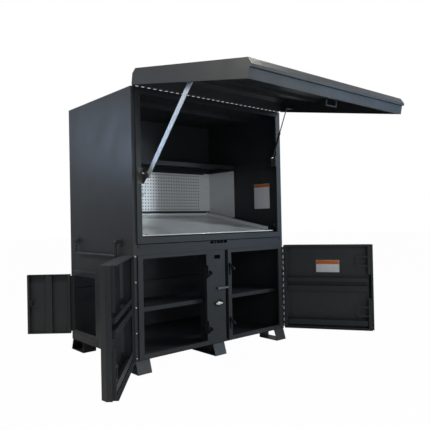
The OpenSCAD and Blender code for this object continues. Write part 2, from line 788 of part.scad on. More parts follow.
// two pairs of pivot lugs for the drop handles
module handle_mounts() color(steel)
    in_box() for (m = [0, 1])
        translate([m * w, 0, 0]) mirror([m, 0, 0]) for (y = handle_y) {
            block([-4, y - 22, handle_z - 30], [0, y + 22, handle_z + 30]);
            translate([-handle_out, y, handle_z]) difference() {
                union() {
                    bar_y(handle_radius + 4, -8, 8);
                    block([0, -8, -12], [handle_out - 4, 8, 12]);
                }
                bar_y(handle_radius + pin_fit, -9, 9);
            }
        }

// round bar that hangs from its two pivots
module drop_handle(m) in_box()
    translate([m * w, 0, 0]) mirror([m, 0, 0]) translate([-handle_out, 0, handle_z]) {
        a = handle_y[0] + 20;
        b = handle_y[1] - 20;
        bar_y(handle_radius, handle_y[0] - 12, a);
        bar_y(handle_radius, b, handle_y[1] + 12);
        translate([0, 0, -handle_drop]) bar_y(handle_radius, a, b);
        for (y = [a, b])
            translate([0, y, 0]) {
                bar_z(handle_radius, -handle_drop, 0);
                sphere(r = handle_radius, $fn = 32);
                translate([0, 0, -handle_drop]) sphere(r = handle_radius, $fn = 32);
            }
    }

module left_handle() color(zinc) drop_handle(0);
module right_handle() color(zinc) drop_handle(1);

// lever on the lock cover, with its shaft and the crank inside the channel
module lock_lever() color(zinc)
    in_box() translate([cover_mid, 0, lever_height]) {
        bar_y(9, cover_y - 18, 30);
        bar_y(12, cover_y - 6, cover_y - gap);
        bar_y(10, cover_y - 19, cover_y - 6);
        hull() {
            bar_y(8, cover_y - 19, cover_y - 11);
            translate([lever_reach - 7, 0, 0]) bar_y(7, cover_y - 19, cover_y - 11);
        }
        hull() {
            translate([-40, 0, 0]) bar_y(8, 20, 26);
            translate([40, 0, 0]) bar_y(8, 20, 26);
        }
    }

// chrome wing knob of the lock, on a shaft through the oval window
module lock_knob() color(chrome)
    in_box() translate([cover_mid, 0, knob_height]) {
        bar_y(10, cover_y, 20);
        bar_y(13, cover_y - 17, cover_y);
        hull() {
            for (x = [-26, 26])
                translate([x, 0, 0]) bar_y(7, cover_y - 20, cover_y - 9);
        }
    }

// flat bar behind the lip with two hooks that stand out of its slots and a drive tab
module hook_bar(x, places, up, inward) in_box() translate([x, 0, 0]) {
    near = sheet + bar_fit;
    block([0, near, places[0]], [bar_thick, near + bar_width, places[1] + hook_tall + 20]);
    for (p = places) {
        // the beak points the way that the bar moves to lock
        translate([0, 0, p]) rotate([90, 0, 90]) linear_extrude(bar_thick)
            translate([0, up ? 0 : hook_tall]) scale([1, up ? 1 : -1])
                polygon([[6, 0], [6, 32], [-29, 22], [-34, hook_tall], [12 - hook_out, hook_tall - 6],
                    [-hook_out, hook_tall - 16], [6 - hook_out, hook_tall - 28], [-20, 0]]);
    }
    block([inward > 0 ? bar_thick : -26, 18, lever_height - 6],
        [inward > 0 ? bar_thick + 26 : 0, 30, lever_height + 6]);
}

module left_hook_bar() color(black) hook_bar(left_bar_x, left_hooks, true, 1);
module right_hook_bar() color(black) hook_bar(right_bar_x, right_hooks, false, -1);

// bracket on the left lip with an ear that holds the lower end of the prop
module prop_bracket() color(black)
    in_box() {
        ear = prop_x - 5;
        translate([0, 0, prop_tip[1]]) {
            block([border + 4, cover_y - 3, -54], [ear + 3, cover_y, 58]);
            translate([ear, 0, 0]) rotate([90, 0, 90]) linear_extrude(3)
                polygon([[cover_y - 3, -54], [cover_y - 3, 56], [prop_tip[0] - 9, 10],
                    [prop_tip[0] - 9, -8], [prop_tip[0] + 4, -12]]);
            translate([0, prop_tip[0], 0]) bar_x(6, ear + 3, prop_x - 0.6);
        }
    }

// galvanised flat bar from its pivot on the canopy down to the bracket
module prop_bar() color(zinc)
    in_box() {
        tilt = canopy_tilt;
        pivot = [-hinge_out - prop_place * cos(tilt) - prop_n * sin(tilt),
            canopy_hinge_z - prop_place * sin(tilt) + prop_n * cos(tilt)];
        way = atan2(pivot[1] - prop_tip[1], pivot[0] - prop_tip[0]);
        long = norm(pivot - prop_tip);
        translate([prop_x, prop_tip[0], prop_tip[1]]) rotate([way, 0, 0])
            rotate([90, 0, 90]) linear_extrude(prop_thick) difference() {
                union() {
                    area([0, -prop_width / 2], [long, prop_width / 2]);
                    circle(r = prop_width / 2, $fn = 48);
                    translate([long, 0]) circle(r = prop_width / 2, $fn = 48);
                }
                circle(r = 7, $fn = 32);
                translate([long, 0]) circle(r = 5 + pin_fit, $fn = 32);
            }
    }

// place and lean of the gas strut
function strut_top() = [
    -hinge_out - strut_place[0] * cos(canopy_tilt) - strut_place[1] * sin(canopy_tilt),
    canopy_hinge_z - strut_place[0] * sin(canopy_tilt) + strut_place[1] * cos(canopy_tilt)];
strut_reach = norm(strut_top() - strut_low);
strut_lean = atan2(strut_low[0] - strut_top()[0], strut_top()[1] - strut_low[1]);

module on_strut() in_box() translate([strut_x, strut_low[0], strut_low[1]])
    rotate([strut_lean, 0, 0]) children();

module strut_bracket() color(zinc)
    in_box() {
        edge = w - border - lip_width;
        difference() {
            block([edge - 4, 2 - lip_depth, strut_low[1] - 76], [edge, 44, strut_low[1] + 16]);
            translate([0, 28, strut_low[1] - 50]) bar_x(4, edge - 6, edge + 2);
        }
        translate([0, strut_low[0], strut_low[1]]) {
            bar_x(4, strut_x - 6, edge - 4);
            bar_x(6, strut_x - 9, strut_x - 6);
        }
    }

module strut_cylinder() color(black)
    on_strut() difference() {
        union() {
            bar_x(8, -5, 5);
            bar_z(6, 6, 16);
            bar_z(strut_radius, 16, strut_body);
        }
        bar_x(4 + pin_fit, -6, 6);
        bar_z(strut_radius - 2, 20, strut_body - 8);
        bar_z(rod_radius + pin_fit, strut_body - 9, strut_body + 1);
    }

module strut_rod() color(zinc)
    on_strut() {
        bar_z(rod_radius, strut_body - 14, strut_reach - 7);
        bar_z(strut_radius - 2.4, strut_body - 14, strut_body - 9);
        translate([0, 0, strut_reach]) difference() {
            bar_x(8, -5, 5);
            bar_x(4, -6, 6);
        }
    }

// Show the whole object, or one sub-part
floor_pan();
left_wall();
right_wall();
back_wall();
roof_panel();
front_plate();
upper_lip();
left_lip();
right_lip();
lock_channel();
lock_cover();
back_rail();
roof_rail();
side_rails();
upper_shelf();
lower_shelf();
peg_panel();
side_liner();
worktop();
worktop_brackets();
front_feet();
rear_feet();
canopy_hinge_leaf();
left_hinge_leaf();
right_hinge_leaf();
side_hinge_leaf();
prop_bracket();
strut_bracket();
handle_mounts();
canopy_shell();
canopy_rim();
canopy_beam();
canopy_lid_leaf();
canopy_staple();
canopy_studs();
left_door_shell();
left_door_rim();
left_door_trays();
left_door_keepers();
left_door_leaf();
right_door_shell();
right_door_rim();
right_door_trays();
right_door_keepers();
right_door_leaf();
side_door_panel();
side_door_leaf();
side_latch();
left_handle();
right_handle();
lock_lever();
lock_knob();
left_hook_bar();
right_hook_bar();
prop_bar();
strut_cylinder();
strut_rod();
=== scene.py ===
# %% [markdown]
# A jobsite cabinet, dressed for a picture.
# The solids come in already built and already in place, in metres, with +Z up.
# This lesson adds the camera, the paint, the small fittings and the light.

# %% Load the solids
import math

import bmesh
import bpy
from mathutils import Matrix, Vector


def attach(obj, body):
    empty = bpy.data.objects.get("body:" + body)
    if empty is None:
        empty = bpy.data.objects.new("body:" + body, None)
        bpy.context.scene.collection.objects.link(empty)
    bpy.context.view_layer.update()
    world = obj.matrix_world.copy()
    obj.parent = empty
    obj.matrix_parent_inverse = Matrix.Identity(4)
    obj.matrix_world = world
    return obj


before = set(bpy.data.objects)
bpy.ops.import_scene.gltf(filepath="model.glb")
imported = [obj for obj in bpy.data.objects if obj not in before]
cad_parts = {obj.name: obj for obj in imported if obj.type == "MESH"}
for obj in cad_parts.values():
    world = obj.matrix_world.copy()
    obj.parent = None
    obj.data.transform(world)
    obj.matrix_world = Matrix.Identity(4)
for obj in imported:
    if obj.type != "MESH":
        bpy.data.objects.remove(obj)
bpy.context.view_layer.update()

# %% [markdown]
# Every place on the cabinet is easiest to say from one corner of the box: millimetres to the
# right, to the back and up from the lower left front corner. One small function turns such a
# place into the scene's metres. A second does it for the open right door, whose inside face is
# turned. The card on that face could be drawn flat and then rotated, but a place on the door is
# simpler to read.

# %% Places
BOX_WIDE, BOX_DEEP, FOOT = 1524, 984, 90
RIGHT_OPEN = 123.5  # degrees that the right door stands open
PIN_AHEAD = 6  # its hinge pin stands so far in front of the front plate


def spot(x, y, z):
    """A place in millimetres from the lower left front corner of the box."""
    return Vector(((x - BOX_WIDE / 2) / 1000, (y - BOX_DEEP / 2) / 1000, (z + FOOT) / 1000))


def right_door_spot(u, v, z):
    """u along the open right door from its hinge, v out from its closed inside face, z up."""
    t = math.radians(RIGHT_OPEN)
    x = BOX_WIDE - (u * math.cos(t) - v * math.sin(t))
    y = -PIN_AHEAD - u * math.sin(t) - v * math.cos(t)
    return spot(x, y, z)


print("lower left front corner:", tuple(round(c, 3) for c in spot(0, 0, 0)))

# %% [markdown]
# The camera stands to the left of the cabinet, about a metre above the floor and three and a
# half metres off. A constraint could aim it, but that gives no roll, and the picture has about a
# degree of it. So the camera's three directions are written out as a small matrix.

# %% Camera
YAW, PITCH, ROLL = 0.711, 0.01, -0.0198
CAMERA_PLACE = (-1831, -2994, 964)
ahead = Vector((math.sin(YAW) * math.cos(PITCH), math.cos(YAW) * math.cos(PITCH), math.sin(PITCH)))
level = Vector((math.cos(YAW), -math.sin(YAW), 0))
upward = level.cross(ahead)
side_dir = math.cos(ROLL) * level + math.sin(ROLL) * upward
up_dir = -math.sin(ROLL) * level + math.cos(ROLL) * upward

camera_data = bpy.data.cameras.new("camera")
camera_data.sensor_width = 36
camera_data.sensor_fit = "HORIZONTAL"
camera_data.lens = 42.15
camera = bpy.data.objects.new("camera", camera_data)
bpy.context.scene.collection.objects.link(camera)
turn = Matrix((side_dir, up_dir, -ahead)).transposed().to_4x4()
camera.matrix_world = Matrix.Translation(spot(*CAMERA_PLACE)) @ turn
bpy.context.scene.camera = camera
print("camera at", tuple(round(c, 2) for c in camera.location))

# %% [markdown]
# Powder coat is sprayed dust that melts into a skin. It keeps a faint orange peel: soft round
# dimples a few millimetres across. The peel is a height that two noises make, and it is used by
# every painted surface here, so it is a node group of its own, with the number of dimples in a
# metre as an input.
# A second group gives large soft clouds, for sheen that is never quite even, and a third gives
# the dust that gathers low down and on flat tops. A picture of paint would do for one side, but
# these patterns have no seams and fit every solid.


# %% Group tools
def new_group(name, inputs, outputs):
    """An empty node group with named sockets, and its two ends."""
    group = bpy.data.node_groups.new(name, "ShaderNodeTree")
    for label, kind, value in inputs:
        socket = group.interface.new_socket(label, in_out="INPUT", socket_type=kind)
        if value is not None:
            socket.default_value = value
    for label, kind in outputs:
        group.interface.new_socket(label, in_out="OUTPUT", socket_type=kind)
    start = group.nodes.new("NodeGroupInput")
    end = group.nodes.new("NodeGroupOutput")
    return group, start, end


def noise(tree, scale, detail=2.0, rough=0.5):
    node = tree.nodes.new("ShaderNodeTexNoise")
    node.inputs["Scale"].default_value = scale
    node.inputs["Detail"].default_value = detail
    node.inputs["Roughness"].default_value = rough
    return node


def sums(tree, kind, a, b, clamp=False):
    """One step of arithmetic on two values, each a number or another node's output."""
    node = tree.nodes.new("ShaderNodeMath")
    node.operation = kind
    node.use_clamp = clamp
    for place, value in enumerate((a, b)):
        if hasattr(value, "links"):
            tree.links.new(value, node.inputs[place])
        else:
            node.inputs[place].default_value = value
    return node.outputs[0]


def remap(tree, value, low, high, to_low, to_high):
    """Stretch the range low to high onto the range to_low to to_high."""
    node = tree.nodes.new("ShaderNodeMapRange")
    tree.links.new(value, node.inputs["Value"])
    for label, number in (("From Min", low), ("From Max", high),
                          ("To Min", to_low), ("To Max", to_high)):
        node.inputs[label].default_value = number
    return node.outputs["Result"]


print("group tools are ready")

# %% Orange peel group
peel, start, end = new_group(
    "orange_peel",
    [("Vector", "NodeSocketVector", None), ("Dimples per metre", "NodeSocketFloat", 300.0)],
    [("Height", "NodeSocketFloat")])
fine = noise(peel, 300, 1.0)
broad = noise(peel, 60, 2.0)
peel.links.new(start.outputs["Vector"], fine.inputs["Vector"])
peel.links.new(start.outputs["Vector"], broad.inputs["Vector"])
peel.links.new(start.outputs["Dimples per metre"], fine.inputs["Scale"])
waves = sums(peel, "MULTIPLY", broad.outputs["Fac"], 0.6)
peel.links.new(sums(peel, "ADD", fine.outputs["Fac"], waves), end.inputs["Height"])
print("group:", peel.name)

# %% Cloud group
clouds, start, end = new_group(
    "soft_clouds",
    [("Vector", "NodeSocketVector", None), ("Scale", "NodeSocketFloat", 3.0),
     ("Low", "NodeSocketFloat", 0.0), ("High", "NodeSocketFloat", 1.0)],
    [("Value", "NodeSocketFloat")])
cloud = noise(clouds, 3, 4.0, 0.55)
clouds.links.new(start.outputs["Vector"], cloud.inputs["Vector"])
clouds.links.new(start.outputs["Scale"], cloud.inputs["Scale"])
spread = sums(clouds, "SUBTRACT", start.outputs["High"], start.outputs["Low"])
even = remap(clouds, cloud.outputs["Fac"], 0.3, 0.7, 0.0, 1.0)
clouds.links.new(sums(clouds, "ADD", start.outputs["Low"], sums(clouds, "MULTIPLY", even, spread)),
                 end.inputs["Value"])
print("group:", clouds.name)

# %% Dust group
dust, start, end = new_group(
    "settled_dust",
    [("Vector", "NodeSocketVector", None), ("Amount", "NodeSocketFloat", 0.2),
     ("Height limit", "NodeSocketFloat", 0.35)],
    [("Mask", "NodeSocketFloat")])
parts = dust.nodes.new("ShaderNodeSeparateXYZ")
dust.links.new(start.outputs["Vector"], parts.inputs[0])
height_share = sums(dust, "DIVIDE", parts.outputs["Z"], start.outputs["Height limit"])
low_down = sums(dust, "SUBTRACT", 1.0, height_share, True)
facing = dust.nodes.new("ShaderNodeNewGeometry")
facing_parts = dust.nodes.new("ShaderNodeSeparateXYZ")
dust.links.new(facing.outputs["Normal"], facing_parts.inputs[0])
flat = remap(dust, facing_parts.outputs["Z"], 0.6, 1.0, 0.0, 0.6)
speck = noise(dust, 90, 3.0, 0.6)
dust.links.new(start.outputs["Vector"], speck.inputs["Vector"])
grain = remap(dust, speck.outputs["Fac"], 0.4, 0.75, 0.0, 1.0)
both = sums(dust, "ADD", sums(dust, "MULTIPLY", low_down, grain),
            sums(dust, "MULTIPLY", flat, grain), True)
dust.links.new(sums(dust, "MULTIPLY", both, start.outputs["Amount"]), end.inputs["Mask"])
print("group:", dust.name)

# %% [markdown]
# Zinc plate shows crystals: flat patches of slightly different grey, a few millimetres wide.
# A noise alone would look like dirt. A Voronoi texture gives exactly such patches, and a fine
# noise scuffs them.

# %% Zinc crystal group
crystal, start, end = new_group(
    "zinc_crystals",
    [("Vector", "NodeSocketVector", None), ("Scale", "NodeSocketFloat", 120.0)],
    [("Mask", "NodeSocketFloat")])
patch = crystal.nodes.new("ShaderNodeTexVoronoi")
crystal.links.new(start.outputs["Vector"], patch.inputs["Vector"])
crystal.links.new(start.outputs["Scale"], patch.inputs["Scale"])
shade = crystal.nodes.new("ShaderNodeSeparateColor")
crystal.links.new(patch.outputs["Color"], shade.inputs[0])
scuff = noise(crystal, 500, 3.0)
crystal.links.new(start.outputs["Vector"], scuff.inputs["Vector"])
scuffed = remap(crystal, scuff.outputs["Fac"], 0.3, 0.7, 0.7, 1.0)
crystal.links.new(sums(crystal, "MULTIPLY", shade.outputs[0], scuffed), end.inputs["Mask"])
print("group:", crystal.name)

# %% [markdown]
# A finish is built in three layers: a base colour that two close tones share, a roughness that
# the clouds shift, and a bump from the peel. Settled dust lightens the base colour a little.
# Each finish could be wired by hand, but then a change to one layer would have to be made in
# every finish. One function does it for all the paints, and each paint passes its own values.


# %% Finish tools
DUST_COLOUR = (0.34, 0.32, 0.29)
DUST_TOP = 0.4  # metres above the floor where the dust fades out


def new_material(name):
    material = bpy.data.materials.new(name)
    material.use_nodes = True
    tree = material.node_tree
    shader = tree.nodes["Principled BSDF"]
    where = tree.nodes.new("ShaderNodeTexCoord")
    return material, tree, shader, where.outputs["Object"]


def placed(tree, group, **values):
    """Place a node group, and link or set each of its inputs by name."""
    node = tree.nodes.new("ShaderNodeGroup")
    node.node_tree = group
    for label, value in values.items():
        socket = node.inputs[label.replace("_", " ")]
        if hasattr(value, "links"):
            tree.links.new(value, socket)
        else:
            socket.default_value = value
    return node


def blended(tree, mask, a, b):
    """A colour that goes from a to b as the mask goes from 0 to 1."""
    node = tree.nodes.new("ShaderNodeMix")
    node.data_type = "RGBA"
    for place, value in ((0, mask), (6, a), (7, b)):
        if hasattr(value, "links"):
            tree.links.new(value, node.inputs[place])
        else:
            node.inputs[place].default_value = value if place == 0 else (*value, 1)
    return node.outputs[2]


def bumped(tree, shader, height, strength, depth):
    bump = tree.nodes.new("ShaderNodeBump")
    bump.inputs["Strength"].default_value = strength
    bump.inputs["Distance"].default_value = depth
    tree.links.new(height, bump.inputs["Height"])
    tree.links.new(bump.outputs["Normal"], shader.inputs["Normal"])


def paint(name, base, second, rough, uneven, dusty, dimples=300.0, depth=0.00006, gloss=0.3):
    """A sprayed coat. Rough varies by uneven, and depth is the height of the peel in metres."""
    material, tree, shader, where = new_material(name)
    shader.inputs["Specular IOR Level"].default_value = gloss
    tone = placed(tree, clouds, Vector=where, Scale=2.2, Low=0.0, High=1.0)
    colour = blended(tree, tone.outputs[0], base, second)
    lying = placed(tree, dust, Vector=where, Amount=dusty, Height_limit=DUST_TOP)
    colour = blended(tree, lying.outputs[0], colour, DUST_COLOUR)
    tree.links.new(colour, shader.inputs["Base Color"])
    sheen = placed(tree, clouds, Vector=where, Scale=5.0, Low=rough - uneven, High=rough + uneven)
    dulled = sums(tree, "MULTIPLY", lying.outputs[0], 0.5)
    tree.links.new(sums(tree, "ADD", sheen.outputs[0], dulled), shader.inputs["Roughness"])
    skin = placed(tree, peel, Vector=where, Dimples_per_metre=dimples)
    bumped(tree, shader, skin.outputs["Height"], 0.35, depth)
    return material


def metal(name, light, dark, rough, crystals):
    """Bare or plated steel. Its crystals are finer as their number rises."""
    material, tree, shader, where = new_material(name)
    cells = placed(tree, crystal, Vector=where, Scale=crystals)
    tree.links.new(blended(tree, cells.outputs[0], dark, light), shader.inputs["Base Color"])
    tree.links.new(remap(tree, cells.outputs[0], 0.0, 1.0, rough + 0.08, rough - 0.05),
                   shader.inputs["Roughness"])
    shader.inputs["Metallic"].default_value = 1.0
    bumped(tree, shader, cells.outputs[0], 0.15, 0.0001)
    return material


print("a finish stands on", len(bpy.data.node_groups), "groups")

# %% [markdown]
# The real cabinet is one colour of charcoal inside and out, with a low gloss. The inside, and
# the doors' trays and rims, take a slightly deeper copy of it: painted shade for the interior.
# The worktop, the back panel and the liner are smooth white, with a finer peel than the
# charcoal; the worktop's copy of the white is a little lighter, as painted light on its upward
# face. The prop and one door hinge are bright zinc. The canopy's hinge has aged to a dull grey,
# and so have the brackets and rods that are handled most. The lock's knob stays bright. The
# narrow strip under the upper lip and the cup in the lock's window are painted shadow, the
# deepest black of all.

# %% Finishes
charcoal = paint("charcoal_coat", (0.027, 0.030, 0.035), (0.022, 0.024, 0.027),
                 rough=0.40, uneven=0.05, dusty=0.08)
# A deeper copy of the charcoal: painted shade for the interior and the doors' trays and rims.
charcoal_painted_shade = paint("charcoal_coat_painted_shade", (0.021, 0.0235, 0.028), (0.017, 0.0185, 0.022),
                        rough=0.5, uneven=0.05, dusty=0.05)
white_coat = paint("white_coat", (0.72, 0.74, 0.76), (0.67, 0.69, 0.71),
                   rough=0.19, uneven=0.03, dusty=0.04, dimples=420.0, depth=0.00004, gloss=0.9)
# A lighter copy of the white for the worktop: painted light on its upward face. It is also
# glossier.
worktop_white_lit = paint("worktop_white_painted_light", (0.80, 0.82, 0.845), (0.75, 0.77, 0.795),
                  rough=0.10, uneven=0.02, dusty=0.03, dimples=420.0, depth=0.00002, gloss=0.5)
black_satin = paint("black_satin", (0.010, 0.010, 0.011), (0.014, 0.014, 0.015),
                    rough=0.38, uneven=0.06, dusty=0.05)
zinc = metal("zinc_plate", (0.50, 0.54, 0.56), (0.36, 0.40, 0.43), rough=0.42, crystals=160.0)
aged_zinc = metal("aged_zinc", (0.24, 0.25, 0.26), (0.14, 0.15, 0.16), rough=0.5, crystals=160.0)
dull_steel = metal("dull_steel", (0.16, 0.18, 0.20), (0.10, 0.11, 0.12), rough=0.4, crystals=220.0)
worn_steel = metal("worn_steel", (0.10, 0.10, 0.095), (0.055, 0.053, 0.05),
                   rough=0.45, crystals=260.0)
bright = metal("bright_plate", (0.80, 0.80, 0.80), (0.70, 0.70, 0.71), rough=0.2, crystals=90.0)
# Painted shade for the insides of holes and screw slots.
hole_shade_paint = paint("hole_shadow", (0.018, 0.020, 0.022), (0.012, 0.014, 0.016),
                  rough=0.7, uneven=0.05, dusty=0.0)
# Painted shadow, the deepest black: the strip under the upper lip and the cup in the lock's window.
painted_shadow_black = paint("painted_shadow_black", (0.004, 0.004, 0.004), (0.006, 0.006, 0.006),
                   rough=0.9, uneven=0.05, dusty=0.0, gloss=0.0)
card_white = paint("card_white", (0.76, 0.78, 0.82), (0.71, 0.73, 0.77),
                   rough=0.45, uneven=0.05, dusty=0.05)
card_orange = paint("card_orange", (0.62, 0.16, 0.02), (0.55, 0.13, 0.02),
                    rough=0.45, uneven=0.05, dusty=0.02)
print("finishes:", len(bpy.data.materials))

# %% [markdown]
# Each solid takes its finish by name. Sheet steel never has a razor edge: folds have a radius
# and cut edges are thick with paint. A narrow bevel modifier on the solids catches the light
# there, and it leaves the solid's own mesh as it was. Hinge leaves, rods and handles have round
# forms of their own, so they go without it.

# %% Finish for each solid
# The interior parts take the copy of the charcoal that carries painted shade.
FINISH = {charcoal_painted_shade: ["floor_pan", "lock_channel", "back_rail", "roof_rail", "side_rails",
                            "upper_shelf", "lower_shelf", "worktop_brackets", "left_door_trays",
                            "right_door_trays", "left_door_rim", "right_door_rim"],
          white_coat: ["peg_panel", "side_liner"],
          worktop_white_lit: ["worktop"],
          zinc: ["right_door_leaf", "prop_bar", "canopy_studs"],
          aged_zinc: ["canopy_lid_leaf", "strut_bracket"],
          bright: ["lock_knob"],
          dull_steel: ["strut_rod", "lock_lever"],
          worn_steel: ["prop_bracket"],
          black_satin: ["strut_cylinder", "side_latch"]}
finish_of = {node: material for material, nodes in FINISH.items() for node in nodes}
NO_BEVEL = ("hinge_leaf", "door_leaf", "lid_leaf", "strut", "handle", "lever", "knob")
EDGE_WIDTH = 0.0012
CREASE = math.radians(35)  # an edge sharper than this is a fold

for name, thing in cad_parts.items():
    thing.data.materials.clear()
    thing.data.materials.append(finish_of.get(name, charcoal))
    if not any(word in name for word in NO_BEVEL):
        edge = thing.modifiers.new("edge", "BEVEL")
        edge.width = EDGE_WIDTH
        edge.segments = 2
        edge.limit_method = "ANGLE"
        edge.angle_limit = CREASE
        edge.harden_normals = False
print("finished solids:", len(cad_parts))

# %% [markdown]
# New fittings are drawn in mesh code. A fitting is set on a face of the cabinet, so every tool
# below takes a place and the direction in which the face looks. Heads of screws and rivets are
# lathe work: a short profile that is spun round its axis. Flat fittings are slabs with softened
# edges.


# %% Fitting tools
TO_FRONT, TO_LEFT, STRAIGHT_UP = (0, -1, 0), (-1, 0, 0), (0, 0, 1)


def looking(place, normal, up=STRAIGHT_UP):
    """The matrix that sets a fitting on a face: its own z looks along the normal."""
    z = Vector(normal).normalized()
    x = Vector(up).cross(z).normalized() if abs(z.dot(Vector(up))) < 0.99 else Vector((1, 0, 0))
    return Matrix.Translation(place) @ Matrix((x, z.cross(x), z)).transposed().to_4x4()


def lathe(bm, matrix, profile, steps=20):
    """Spin a profile of (radius, height) pairs, and close it at its last ring."""
    rings = [[bm.verts.new(matrix @ Vector((r * math.cos(a), r * math.sin(a), h)))
              for a in (2 * math.pi * i / steps for i in range(steps))] for r, h in profile]
    for low, high in zip(rings, rings[1:]):
        for i in range(steps):
            j = (i + 1) % steps
            bm.faces.new((low[i], low[j], high[j], high[i]))
    bm.faces.new(rings[-1])


def slab(bm, matrix, low, high, bevel=0.0, material=0):
    """A flat block between two corners, with its edges rounded by bevel."""
    made = bmesh.ops.create_cube(bm, size=1.0)["verts"]
    size = [b - a for a, b in zip(low, high)]
    middle = [(a + b) / 2 for a, b in zip(low, high)]
    for v in made:
        v.co = matrix @ Vector([c * s + m for c, s, m in zip(v.co, size, middle)])
    for f in {f for v in made for f in v.link_faces}:
        f.material_index = material
    if bevel:
        edges = list({e for v in made for e in v.link_edges})
        bmesh.ops.bevel(bm, geom=edges, offset=bevel, segments=2, affect="EDGES", profile=0.5,
                        material=material)


def piece(name, bm, body, materials):
    """Turn the drawn mesh into an object that rides on a body."""
    bmesh.ops.recalc_face_normals(bm, faces=bm.faces)
    mesh = bpy.data.meshes.new(name)
    bm.to_mesh(mesh)
    bm.free()
    for material in materials:
        mesh.materials.append(material)
    for face in mesh.polygons:
        face.use_smooth = True
    mesh.set_sharp_from_angle(angle=CREASE)
    thing = bpy.data.objects.new(name, mesh)
    bpy.context.scene.collection.objects.link(thing)
    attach(thing, body)
    print(name, "faces:", len(mesh.polygons))


def pan_head(bm, matrix, radius, height):
    """A domed screw head with a cross of painted slot shade in it."""
    lathe(bm, matrix, [(radius, 0), (radius, height * 0.35), (radius * 0.85, height * 0.75),
                       (radius * 0.5, height), (radius * 0.2, height)])
    for turn_by in (0.4, 0.4 + math.pi / 2):
        slab(bm, matrix @ Matrix.Rotation(turn_by, 4, "Z"),
             (-radius * 0.5, -radius * 0.1, height * 0.9),
             (radius * 0.5, radius * 0.1, height * 1.04), material=1)


# %% [markdown]
# The back panel over the worktop has a field of holes for hooks, 30 mm apart both ways. On the
# real panel they go through. A solid's mesh is never cut here, so each one is a shallow dish with
# a thin rim, set in the panel's face and painted dark as the shade inside a hole. All of them
# together are one mesh.

# %% Peg holes
PITCH, ACROSS, UP = 30, 43, 12
FIRST_HOLE_X, FIRST_HOLE_Z, PANEL_FACE = 98, 1075, 958.9
HOLE_RIM = [(0.0064, -0.0002), (0.0058, 0.0004), (0.0052, 0.0002)]

bm = bmesh.new()
for i in range(ACROSS):
    for j in range(UP):
        place = spot(FIRST_HOLE_X + i * PITCH, PANEL_FACE, FIRST_HOLE_Z + j * PITCH)
        lathe(bm, looking(place, TO_FRONT), HOLE_RIM, 10)
piece("peg_holes", bm, "cabinet", [hole_shade_paint])

# %% [markdown]
# The liner's sloping lower edge goes down behind the worktop, so no dark steel shows above the
# tray. A strip in the liner's own thickness carries it on, at the slope of the worktop. Its own
# x runs back and up the slope, its y stands across the slope, and its z points to the right.

# %% Liner foot
SLOPE = math.atan(0.178)
RIGHT_WALL = 1521  # the inner face of the right wall
LINER_LOW_Y, LINER_LOW_Z = 630, 985.3
STRIP_LONG, STRIP_HIGH, STRIP_THICK = 0.352, 0.022, 0.003

bm = bmesh.new()
sloping = Matrix(((0, 0, 1),
                  (math.cos(SLOPE), -math.sin(SLOPE), 0),
                  (math.sin(SLOPE), math.cos(SLOPE), 0))).to_4x4()
slab(bm, Matrix.Translation(spot(RIGHT_WALL, LINER_LOW_Y, LINER_LOW_Z)) @ sloping,
     (0, -STRIP_HIGH, -STRIP_THICK), (STRIP_LONG, 0, -0.0001), 0.0004)
piece("liner_foot", bm, "cabinet", [white_coat])

# %% [markdown]
# The liner on the right wall is held by pan head screws with a cross slot: three at its front
# edge and three on the flange that turns onto the back wall. The cross is a pair of thin bars of
# painted slot shade that stand just proud of the head, which reads as a slot and needs no cut.

# %% Liner screws
FLANGE_FACE, LINER_FACE, LINER_FRONT = 978, 1518, 628

bm = bmesh.new()
for x, z in ((1477, 1406), (1474, 1301), (1462, 1103)):
    pan_head(bm, looking(spot(x, FLANGE_FACE, z), TO_FRONT), radius=0.006, height=0.004)
for z in (1412, 1304, 1112):
    pan_head(bm, looking(spot(LINER_FACE, LINER_FRONT, z), TO_LEFT), radius=0.006, height=0.004)
piece("liner_screws", bm, "cabinet", [zinc, hole_shade_paint])

# %% [markdown]
# The left door hinge is fixed with round rivets down the border of the front plate. One more
# bolt stands above them, at the corner of the rail between the openings. The right border,
# which is seen at a flat angle, has the same.

# %% Border rivets
DOME = [(0.0075, 0), (0.0072, 0.002), (0.0055, 0.004), (0.003, 0.0052), (0.001, 0.0055)]
RIVET_IN, BOLT_IN = 15, 40  # how far in from each side they stand

bm = bmesh.new()
for x in (RIVET_IN, BOX_WIDE - RIVET_IN):
    for z in (721, 544, 369, 193, 20):
        lathe(bm, looking(spot(x, 0, z), TO_FRONT), DOME, 16)
piece("border_rivets", bm, "cabinet", [zinc])

bm = bmesh.new()
for x in (BOLT_IN, BOX_WIDE - BOLT_IN):
    lathe(bm, looking(spot(x, 0, 789), TO_FRONT), DOME, 16)
piece("rail_bolts", bm, "cabinet", [charcoal])

# %% [markdown]
# The shelf over the worktop has a folded front lip. Small holes in it, in two short groups,
# take divider clips. They are dots of painted hole shade only a few millimetres wide, made like
# the peg holes.

# %% Shelf lip holes
SHELF_LIP_FACE, CLIP_HEIGHT = 584.9, 1465
CLIP_RIM = [(0.005, -0.0002), (0.0042, 0.0004), (0.0035, 0.0002)]

bm = bmesh.new()
for x in (664, 686, 708, 930, 951, 972):
    lathe(bm, looking(spot(x, SHELF_LIP_FACE, CLIP_HEIGHT), TO_FRONT), CLIP_RIM, 10)
piece("shelf_lip_holes", bm, "cabinet", [hole_shade_paint])

# %% [markdown]
# Two blank cards stick to the dark steel, one on the right inner wall and one inside the right
# door. Each has a plain coloured band along its top edge. The band could be painted by a mask in
# one material, but a second thin sheet on the card gives it a true edge. Card and band are each
# about half a millimetre thick, with softened edges.


# %% Cards
BAND_IN = 0.002  # the bare margin round the band


